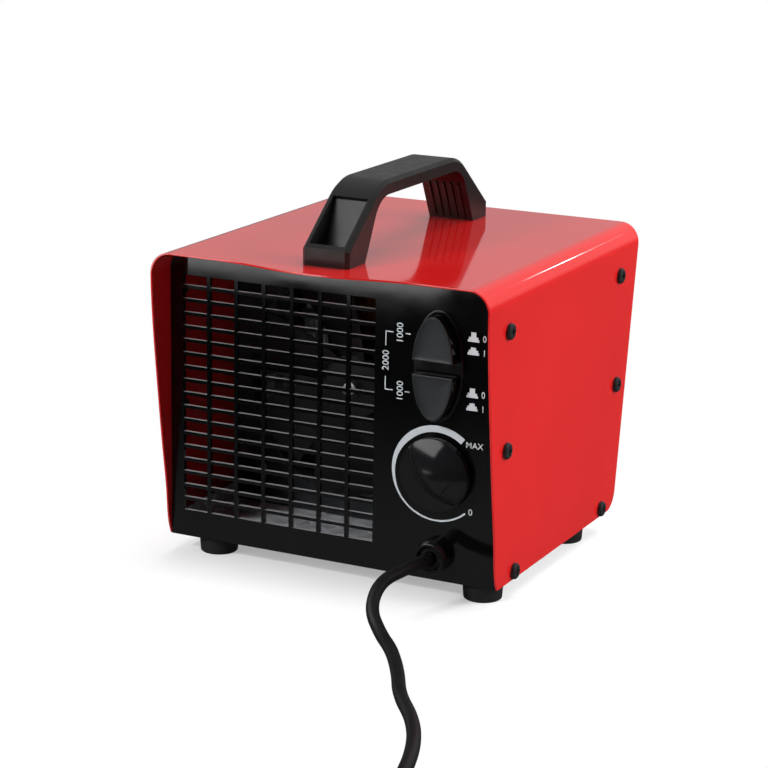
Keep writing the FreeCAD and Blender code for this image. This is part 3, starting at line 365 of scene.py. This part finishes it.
def loft(bm, rings, ends=True):
    """Skins rings of points of equal count, and returns the rings of vertices."""
    made = [[bm.verts.new(point) for point in ring] for ring in rings]
    count = len(made[0])
    for low, high in zip(made, made[1:]):
        for i in range(count):
            j = (i + 1) % count
            bm.faces.new((low[i], low[j], high[j], high[i]))
    if ends:
        bm.faces.new(made[0])
        bm.faces.new(list(reversed(made[-1])))
    return made


def block(bm, centre, axes, sizes):
    """A box about centre, with unit axes and full sizes in metres; returns its edges."""
    half = (-0.5, 0.5)
    corners = [bm.verts.new(centre + axes[0] * i * sizes[0] + axes[1] * j * sizes[1] + axes[2] * k * sizes[2])
               for i in half for j in half for k in half]
    faces = [bm.faces.new([corners[n] for n in quad]) for quad in
             ((0, 1, 3, 2), (4, 6, 7, 5), (0, 4, 5, 1), (2, 3, 7, 6), (0, 2, 6, 4), (1, 5, 7, 3))]
    return list({edge for face in faces for edge in face.edges})


# ---------------------------------------------------------------- controls
LINE, KNOB_Z, BUTTON_Z = 64.3, 59.6, 118.6      # the controls' upright line, and their heights on it


def knob():
    """Dial knob with a domed face; a second dome and a groove cut its lower-left side to a pointer edge."""
    along, across = Vector((1, 0, -1)).normalized(), Vector((-1, 0, -1)).normalized()

    def place(u, v, depth):
        point = Vector((LINE, -depth, KNOB_Z)) + along * u + across * v
        return at(*point)

    bm = bmesh.new()
    flange_front = 3.6
    flange = [(17.5, 1.0), (20.1, 1.0), (20.5, 1.4), (20.5, 3.1), (20.38, 3.45), (20.1, flange_front),
              (8.0, flange_front)]
    loft(bm, [[place(r * math.cos(a), r * math.sin(a), d) for a in circle(96)] for r, d in flange])

    rim, dome, sunk = 20.3, 32.5, 20.0          # the face's outline, its sphere, and how far that is sunk
    shift, ridge_at = 17.4, -1.2                # of the second sphere's middle, and of the ridge
    root, groove_depth, groove_floor = 3.4, 3.2, 0.25
    side = math.hypot(shift + ridge_at, dome)   # radius of the second sphere
    reach = math.sqrt(side ** 2 - (sunk + flange_front) ** 2)
    end = math.sqrt(rim ** 2 - ridge_at ** 2)
    count, face_rows, side_rows = 48, 18, 12
    stations = []
    for i in range(-count, count + 1):
        u = end * math.sin(math.pi / 2 * i / count)
        far = -math.sqrt(max(rim ** 2 - u * u, ridge_at ** 2))
        row = [place(u, far, root)]
        for k in range(face_rows + 1):
            v = far + (ridge_at - far) * k / face_rows
            row.append(place(u, v, math.sqrt(dome ** 2 - u * u - v * v) - sunk))
        edge = -shift + math.sqrt(max(reach ** 2 - u * u, 0))
        for k in range(1, side_rows + 1):
            share = k / side_rows
            v = ridge_at + (edge - ridge_at) * share
            groove = (groove_depth * (1 - (u / end) ** 2)
                      * min(share / groove_floor, (1 - share) / (1 - groove_floor)))
            row.append(place(u, v, math.sqrt(max(side ** 2 - u * u - (v + shift) ** 2, 0)) - sunk - groove))
        row.append(place(u, edge, root))
        stations.append(row)
    made = loft(bm, stations)

    def edges_along(place_in_row):
        found = (bm.edges.get((a[place_in_row], b[place_in_row])) for a, b in zip(made, made[1:]))
        return [edge for edge in found if edge]

    bevel(bm, edges_along(1), 0.9, 4)
    bevel(bm, edges_along(face_rows + 1), 0.45, 3)
    bmesh.ops.remove_doubles(bm, verts=bm.verts, dist=2e-6)
    from_bmesh("knob_cap", bm, "knob", "knob_plastic", "thermostat_knob", 24)


def button(upper):
    """Half-oval push button with a dished face inside a fine raised rim."""
    half_width, half_height, gap = 12.1, 28.2, 3.6
    arc_steps, flat_steps = 64, 16
    side = math.acos(gap / half_height)
    way = 1 if upper else -1
    outline = []
    for i in range(arc_steps + 1):
        t = -side + 2 * side * i / arc_steps
        outline.append((half_width * math.sin(t) * way, half_height * math.cos(t) * way))
    left, right = outline[-1][0], outline[0][0]
    outline += [(left + (right - left) * i / flat_steps, gap * way) for i in range(1, flat_steps)]
    middle = 13.5 * way                         # the face shrinks towards this height
    steps = [(0.0, -4.0), (0.0, 7.75), (0.012, 8.1), (0.035, 8.38), (0.065, 8.5), (0.095, 8.42), (0.13, 8.2),
             (0.2, 7.95), (0.35, 7.65), (0.55, 7.45), (0.8, 7.36), (0.96, 7.35)]
    bm = bmesh.new()
    made = loft(bm, [[at(LINE + x * (1 - inset), -reach, BUTTON_Z + middle + (z - middle) * (1 - inset))
                      for x, z in outline] for inset, reach in steps])
    corners = [(made[0][n], made[1][n]) for n in (0, arc_steps)]
    uprights = [edge for edge in bm.edges if any(all(v in pair for v in edge.verts) for pair in corners)]
    bevel(bm, uprights, 0.5, 3)
    stem_z, stem_radius = BUTTON_Z + 14.5 * way, 3
    loft(bm, [[at(LINE + stem_radius * math.cos(a), depth, stem_z + stem_radius * math.sin(a))
               for a in circle(32)] for depth in (3.5, 13.9)])
    name = "upper" if upper else "lower"
    from_bmesh(name + "_button_cap", bm, "button_" + name, "button_plastic", name + "_button", 30)


# ---------------------------------------------------------------- printed marks
INK_FACE = -0.04                                # just proud of the panel
CAP_HEIGHT = 0.70                               # of a capital letter, in text sizes
RING_OUTSIDE = 26.5                             # radius of the dial's ring
STEPS_HIGH, STEPS_LOW = 133.8, 102.1            # heights of the two single steps' marks
BRACKET = 33.0                                  # upright of the bracket that joins both steps


def ink_polygon(bm, points):
    """A flat printed shape on the panel, from points (X, Z)."""
    low = [bm.verts.new(at(x, 0.0, z)) for x, z in points]
    high = [bm.verts.new(at(x, INK_FACE, z)) for x, z in points]
    bm.faces.new(high)
    bm.faces.new(list(reversed(low)))
    for i in range(len(points)):
        j = (i + 1) % len(points)
        bm.faces.new((low[i], low[j], high[j], high[i]))


def ink_bar(bm, left, low, right, high):
    ink_polygon(bm, [(left, low), (right, low), (right, high), (left, high)])


def ring_mark(bm):
    """The dial's ring, thin at 0 and broad at MAX."""
    steps, start, sweep = 120, -49, 258.5
    thin, broader, swell_from, swell_over = 0.95, 2.7, 0.36, 0.34
    ends = []
    for k in range(steps + 1):
        share = k / steps
        swell = min(1, max(0, (share - swell_from) / swell_over)) ** 1.2
        ends.append((math.radians(start - sweep * share), RING_OUTSIDE - thin - broader * swell))
    for (first, first_in), (second, second_in) in zip(ends, ends[1:]):
        ink_polygon(bm, [(LINE + r * math.cos(turn), KNOB_Z + r * math.sin(turn)) for r, turn in
                         ((RING_OUTSIDE, first), (RING_OUTSIDE, second), (second_in, second),
                          (first_in, first))])


def marks():
    """The ring, the bracket beside the buttons, and a pair of icons for each button."""
    bm = bmesh.new()
    ring_mark(bm)
    half = 0.55 / 2                             # of the bracket's stroke
    for high, low in ((STEPS_HIGH, 126.0), (109.2, STEPS_LOW)):
        ink_bar(bm, BRACKET - half, low, BRACKET + half, high)
    for z in (STEPS_HIGH, STEPS_LOW):
        ink_bar(bm, BRACKET - half, z - half, 37.4, z + half)
        ink_bar(bm, 44.6, z - half, 47.4, z + half)
    layer = 1.3                                 # of the icons' stepped foot
    for top in (139.2, 109.1):
        for high, stem in ((top, 2.6), (top - 8.2, 1.4)):      # a button out and a button in
            ink_bar(bm, 82.4, high - stem, 85.4, high)
            ink_bar(bm, 81.2, high - stem - layer, 86.6, high - stem)
            ink_bar(bm, 80.6, high - stem - 2 * layer, 87.2, high - stem - layer)
    from_bmesh("panel_marks", bm, "housing", "panel_ink")


def text(name, words, x, z, height, turned=False, stretch=0.86):
    """Plain printed characters, centred on (x, z)."""
    data = bpy.data.curves.new(name, "FONT")
    data.body = words
    data.align_x, data.align_y = "CENTER", "CENTER"
    data.size = height / CAP_HEIGHT * MM
    data.extrude = 0.02 * MM
    data.offset = 0.015 * MM
    words_object = bpy.data.objects.new(name, data)
    bpy.context.collection.objects.link(words_object)
    bpy.context.view_layer.update()
    mesh = bpy.data.meshes.new_from_object(words_object.evaluated_get(bpy.context.evaluated_depsgraph_get()))
    bpy.data.objects.remove(words_object)
    turn = Matrix.Rotation(math.radians(90), 4, "X")
    if turned:
        turn = turn @ Matrix.Rotation(math.radians(90), 4, "Z")
    mesh.transform(Matrix.Translation(at(x, INK_FACE / 2, z)) @ turn @ Matrix.Diagonal((stretch, 1, 1, 1)))
    new_piece(name, mesh, "housing", "panel_ink")


def lettering():
    """Numbers beside the buttons and the dial, and the usual 0 and I beside the icons."""
    step_size, step_stretch = 3.7, 1.06
    text("mark_step_upper", "1000", 41.4, STEPS_HIGH, step_size, True, step_stretch)
    text("mark_step_both", "2000", BRACKET + 0.2, 117.9, step_size, True, step_stretch)
    text("mark_step_lower", "1000", 41.9, STEPS_LOW, step_size, True, step_stretch)
    text("mark_dial_max", "MAX", 86.0, 77.8, 3.3, stretch=1.0)
    text("mark_dial_zero", "0", 84.5, 41.0, 3.5, stretch=1.0)
    for height in (135.6, 105.5):
        text("mark_out_%d" % height, "0", 90.2, height + 0.4, 3.5)
        text("mark_in_%d" % height, "I", 90.2, height - 7.2, 3.5)


# ---------------------------------------------------------------- handle
def handle_ribs():
    """Fine ribs up the inner faces of both legs."""
    bm = bmesh.new()
    bottom, top, lean = 167.5, 189.2, 12.2      # of the ribs, and how far the leg leans over that height
    rib, pitch, count, rounding = 1.4, 4.6, 5, 0.35
    for foot, way in ((12.0, 1), (150.0, -1)):
        low, high = at(0, foot + 0.4 * way, bottom), at(0, foot + lean * way, top)
        up = (high - low).normalized()
        out = ALONG_X.cross(up).normalized() * way
        for k in range(count):
            x = (k - (count - 1) / 2) * pitch * MM
            edges = block(bm, (low + high) / 2 + ALONG_X * x - out * 0.1 * MM,
                          (ALONG_X, up, out), (rib * MM, (high - low).length, rib * MM))
            bevel(bm, edges, rounding, 2)
    from_bmesh("handle_ribs", bm, "housing", "handle_plastic")


# ---------------------------------------------------------------- fan and element
AXIS_X, AXIS_Z = -18.0, 82.0                    # the fan's axis, and the middle of the heating element


def blade(bm, turn):
    """One twisted, cambered blade, as a thin closed shell."""
    root, tip, across, along = 17.5, 65.6, 8, 10
    middle, camber, half_thick = 67.5, 1.6, 0.65
    front_limit, back_limit = 59.6, 75.4
    rows = []
    for i in range(across + 1):
        share = i / across
        r = root + (tip - root) * i / across
        pitch = math.radians(38 - 16 * share)
        chord = 30 + 14 * share
        lean = 0.16 * share
        row = []
        for j in range(along + 1):
            s = (j / along - 0.5) * chord
            swing = turn + lean + s * math.cos(pitch) / r
            depth = middle + s * math.sin(pitch) * 0.72 - camber * (1 - (2 * j / along - 1) ** 2)
            row.append((r, swing, min(max(depth, front_limit), back_limit)))
        rows.append(row)
    front, back = ([[bm.verts.new(at(AXIS_X + r * math.cos(a), d + offset, AXIS_Z + r * math.sin(a)))
                     for r, a, d in row] for row in rows] for offset in (-half_thick, half_thick))
    for grid in (front, back):
        for i in range(across):
            for j in range(along):
                bm.faces.new((grid[i][j], grid[i + 1][j], grid[i + 1][j + 1], grid[i][j + 1]))
    rim = ([(i, 0) for i in range(across)] + [(across, j) for j in range(along)]
           + [(i, along) for i in range(across, 0, -1)] + [(0, j) for j in range(along, 0, -1)])
    for (i, j), (k, n) in zip(rim, rim[1:] + rim[:1]):
        bm.faces.new((front[i][j], front[k][n], back[k][n], back[i][j]))


def fan():
    """Seven blades on a cupped hub."""
    bm = bmesh.new()
    for turn in circle(7):
        blade(bm, turn)
    hub = [(2.55, 59.4), (5.2, 59.2), (6.0, 60.2), (8.0, 61.0), (16.5, 61.0), (18.4, 61.7), (19.0, 63.2),
           (19.0, 75.6), (17.2, 75.8), (17.2, 64.0), (6.0, 64.0), (6.0, 74.8), (2.55, 74.8)]
    loft(bm, [[at(AXIS_X + r * math.cos(a), d, AXIS_Z + r * math.sin(a)) for a in circle(64)]
              for r, d in hub + hub[:1]], ends=False)
    bmesh.ops.remove_doubles(bm, verts=bm.verts, dist=1e-7)
    from_bmesh("fan_blades", bm, "fan", "fan_blades", "fan_rotor", 40)


def radiator():
    """Folded aluminium radiators between the ceramic strips."""
    bm = bmesh.new()
    half, strip, strips = 66.0, 6.0, 5          # of the element, and the ceramic strips across it
    middle, depth, sheet = 133.0, 20.0, 0.28
    folds, end_gap, slack = 78, 1.4, 0.25
    high = (2 * half - strips * strip) / (strips + 1)
    for row in range(strips + 1):
        low = AXIS_Z - half + row * (strip + high)
        line = [(AXIS_X - half + end_gap + k * (2 * half - 2 * end_gap) / (folds - 1),
                 low + (slack if k % 2 else high - slack)) for k in range(folds)]
        for (x0, z0), (x1, z1) in zip(line, line[1:]):
            edge = Vector((x1 - x0, 0, z1 - z0))
            along = edge.normalized()
            block(bm, (at(x0, middle, z0) + at(x1, middle, z1)) / 2, (along, ALONG_Y, along.cross(ALONG_Y)),
                  (edge.length * MM, depth * MM, sheet * MM))
    from_bmesh("radiator_folds", bm, "housing", "strip_aluminium", "radiator_fins", 20)


# ---------------------------------------------------------------- mains lead
LEAD, LEAD_LENGTH = 7.0, 1.5                    # diameter in millimetres, length in metres
ON_TABLE = 3.6                                  # height of the lead's middle where it lies
ROUTE = [
    (64.3, -90.5, 24.0), (60.5, -110.5, 24.0), (54.5, -129.5, 21.5), (56.5, -144.5, 11.5),
    (69.0, -156.5, 3.6), (83.0, -172.5, 3.6), (99.0, -197.5, 3.6), (113.0, -224.5, 3.6),
    (132.0, -248.5, 3.6), (146.0, -275.5, 3.6), (157.0, -310.5, 3.6), (162.5, -348.5, 3.6)]
COIL_X, COIL_Y, COIL_RADIUS = 205.0, -386.5, 43.5
COIL_START = (COIL_X - COIL_RADIUS, COIL_Y + 8.0, ON_TABLE)
TAIL = [(219.0, -430.0, 11.8), (233.0, -430.0, 17.8), (248.0, -430.0, 17.8)]


def coil_points():
    """Two flat layers of turns: inwards on the table, then outwards on top of the first."""
    per_turn, turns = 16, 5.25
    layer = LEAD + 0.1                          # from one turn to the next, beside it or on it
    drawn_in = 0.981                            # a smooth curve passes inside its points by this share
    steps = int(per_turn * turns)
    climb_steps = 3.5
    points = []
    for i in range(1, steps + 1):
        share = i / steps
        turn = math.pi + 2 * math.pi * turns * share
        radius = (COIL_RADIUS - layer * turns * min(share, 1 - share)) / drawn_in
        climb = min(1, max(0, (share - 0.5) * steps / climb_steps + 0.5))
        points.append((COIL_X + radius * math.cos(turn), COIL_Y + radius * math.sin(turn),
                       ON_TABLE + layer * climb))
    return points


def mains_lead():
    """The flexible lead from the gland to the plug, with its far end put away in a coil."""
    points = [Vector(p) * MM for p in ROUTE + [COIL_START] + coil_points() + TAIL]
    data = bpy.data.curves.new("lead", "CURVE")
    data.dimensions = "3D"
    data.bevel_depth = LEAD / 2 * MM
    data.bevel_resolution = 8
    data.resolution_u = 10
    data.use_fill_caps = True
    spline = data.splines.new("NURBS")
    spline.points.add(len(points) - 1)
    for spot, point in zip(spline.points, points):
        spot.co = (*point, 1)
    spline.order_u = 3
    spline.use_endpoint_u = True
    data.materials.append(MATERIALS["lead_sheath"])
    lead = bpy.data.objects.new("mains_lead", data)
    bpy.context.collection.objects.link(lead)
    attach(lead, "housing")
    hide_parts("mains_cord", "mains_cord_coil", "mains_cord_tail")
    plug = refine("mains_plug", 0.5)
    pins = refine("plug_pins", 0.2)


# ---------------------------------------------------------------- stage
def add_world():
    """A studio that is white to the camera, and lights the heater mostly from behind and above."""
    world = bpy.data.worlds.new("studio")
    bpy.context.scene.world = world
    world.use_nodes = True
    tree = world.node_tree
    tree.nodes.clear()
    link = tree.links.new

    def node(kind, **inputs):
        item = tree.nodes.new("ShaderNode" + kind)
        for name, setting in inputs.items():
            item.inputs[name].default_value = setting
        return item

    split = node("SeparateXYZ")
    link(node("TexCoord").outputs["Generated"], split.inputs[0])

    def ramp(axis, start, end, low, high):
        """Goes from low to high as a direction's part along axis goes from start to end."""
        item = node("MapRange", **{"From Min": start, "From Max": end, "To Min": low, "To Max": high})
        link(split.outputs[axis], item.inputs["Value"])
        return item.outputs["Result"]

    def combine(operation, *sources):
        item = node("Math")
        item.operation = operation
        for socket, source in zip(item.inputs, sources):
            link(source, socket)
        return item.outputs[0]

    sky = combine("MULTIPLY", ramp("Z", -0.05, 0.12, 0.06, 0.33), ramp("Y", -0.15, 0.35, 0.12, 1.0))
    table_in_front = (ramp("Z", -0.31, -0.262, 0.16, 0.0), ramp("Y", -0.5, -0.2, 1.0, 0.0))
    lit = node("Background", Color=(0.97, 0.985, 1.0, 1))
    link(combine("MULTIPLY_ADD", *table_in_front, sky), lit.inputs["Strength"])
    backdrop = node("Background", Color=(1, 1, 1, 1), Strength=1.0)
    mix, out = node("MixShader"), node("OutputWorld")
    link(node("LightPath").outputs["Is Camera Ray"], mix.inputs[0])
    link(lit.outputs[0], mix.inputs[1])
    link(backdrop.outputs[0], mix.inputs[2])
    link(mix.outputs[0], out.inputs["Surface"])


def add_floor():
    """Pale paper that keeps the heater's soft shadow close to it and burns out to white further away."""
    bm = bmesh.new()
    bmesh.ops.create_grid(bm, x_segments=1, y_segments=1, size=4.0)
    mesh = bpy.data.meshes.new("floor")
    bm.to_mesh(mesh)
    bm.free()
    floor = bpy.data.objects.new("floor", mesh)
    bpy.context.collection.objects.link(floor)
    m = Nodes("floor_paper", (0.94, 0.94, 0.94), 0.85)
    m.tint(m.noise(3, 2), 0.01)
    m.set(m.shader, **{"Specular IOR Level": 0.0})
    shadow_half, fade, least_white = (0.085, 0.075, 0), 0.05, 0.35
    away = m.place                              # becomes the distance outside the shadow's oblong
    for step, amount in (("ABSOLUTE", None), ("SUBTRACT", shadow_half),
                         ("MAXIMUM", (0, 0, 0)), ("LENGTH", None)):
        item = m.node("VectorMath", {0: away})
        item.operation = step
        if amount:
            item.inputs[1].default_value = amount
        away = item.outputs["Value" if step == "LENGTH" else "Vector"]
    glow = m.node("Emission", Color=(1, 1, 1, 1), Strength=1.0)
    paper = m.node("MixShader", {0: m.span(away, least_white, 1, 0.0, fade),
                                 1: m.shader.outputs[0], 2: glow.outputs[0]})
    bounce = m.node("BsdfDiffuse", Color=(0.42, 0.42, 0.42, 1))
    seen = m.node("MixShader", {0: m.node("LightPath").outputs["Is Camera Ray"],
                                1: bounce.outputs[0], 2: paper.outputs[0]})
    end = next(n for n in m.tree.nodes if n.type == "OUTPUT_MATERIAL")
    m.tree.links.new(seen.outputs[0], end.inputs["Surface"])
    mesh.materials.append(m.material)
    floor.visible_glossy = False


def area_light(name, place, target, size, power, glossy=True, diffuse=True):
    data = bpy.data.lights.new(name, "AREA")
    data.shape = "RECTANGLE"
    data.size, data.size_y = size
    data.energy = power
    lamp = bpy.data.objects.new(name, data)
    bpy.context.collection.objects.link(lamp)
    lamp.location = place
    lamp.rotation_euler = (Vector(target) - Vector(place)).to_track_quat("-Z", "Y").to_euler()
    lamp.visible_camera = False
    lamp.visible_glossy, lamp.visible_diffuse = glossy, diffuse


def add_lights():
    """Lamps that give diffuse light only, and panels that only show in glossy surfaces."""
    middle = (0, 0, 0.1)
    area_light("key", (1.7, 0.55, 0.9), middle, (1.0, 1.0), 46, glossy=False)
    area_light("fill", (-1.0, -1.7, 1.1), middle, (1.0, 0.8), 14, glossy=False)
    area_light("spot", (-0.55, -0.95, 0.72), (0.03, 0.0, 0.03), (0.12, 0.12), 7, glossy=False)
    area_light("top", (0.1, 0.7, 1.9), middle, (1.6, 1.6), 42, glossy=False)
    area_light("softbox", (-0.85, -0.95, 1.2), middle, (1.8, 0.9), 15, diffuse=False)
    area_light("rim", (0.5, 1.65, 0.83), middle, (0.04, 0.04), 0.12, diffuse=False)
    area_light("strip", (-0.90, -1.165, 0.002), (-0.90, -1.165, 1.0), (1.3, 0.86), 9, diffuse=False)


# ---------------------------------------------------------------- assembly
EASED = {                                       # how far each plain node's edges are eased
    "cover_screws": 0.15, "foot_screws": 0.2, "handle_screws": 0.2, "base_plate": 0.25,
    "outlet_panel": 0.25, "fan_clip": 0.2, "motor_shaft": 0.3, "motor_bracket_front": 0.4,
    "motor_bracket_rear": 0.4, "motor_mount": 0.3, "motor_stator": 0.3, "motor_coil": 2.0,
    "motor_rotor": 0.4, "motor_bolts": 0.2, "heater_duct": 0.25, "element_frame": 0.6,
    "element_strips": 0.25, "ceramic_stones": 0.3, "thermal_cutout": 0.3, "cutout_strap": 0.25,
    "terminal_block": 0.6, "upper_switch": 0.4, "lower_switch": 0.4, "thermostat_body": 0.6,
    "thermostat_spindle": 0.3, "outlet_guard": 0.2}


def build():
    add_camera()
    mains_lead()
    knob()
    button(True)
    button(False)
    marks()
    lettering()
    refine("cover_shell", 0.3, 3)
    refine("control_panel", 0.4)
    refine("button_bezel", 0.45, 3)
    refine("cord_gland", 0.5, 3)
    refine("handle", 1.1, 4, 18, 30)
    handle_ribs()
    fan()
    radiator()
    for node in frame["nodes"]:
        if node.startswith("foot_") and node != "foot_screws":
            refine(node, 0.9, 3)
    for node, width in EASED.items():
        refine(node, width)
    # the fan plate takes the galvanised finish painted dark as shade
    refine("fan_plate", 0.25, material="zinc_in_painted_shade")
    add_world()
    add_floor()
    add_lights()
    bpy.context.scene.view_settings.view_transform = "Standard"
    bpy.context.view_layer.update()


build()
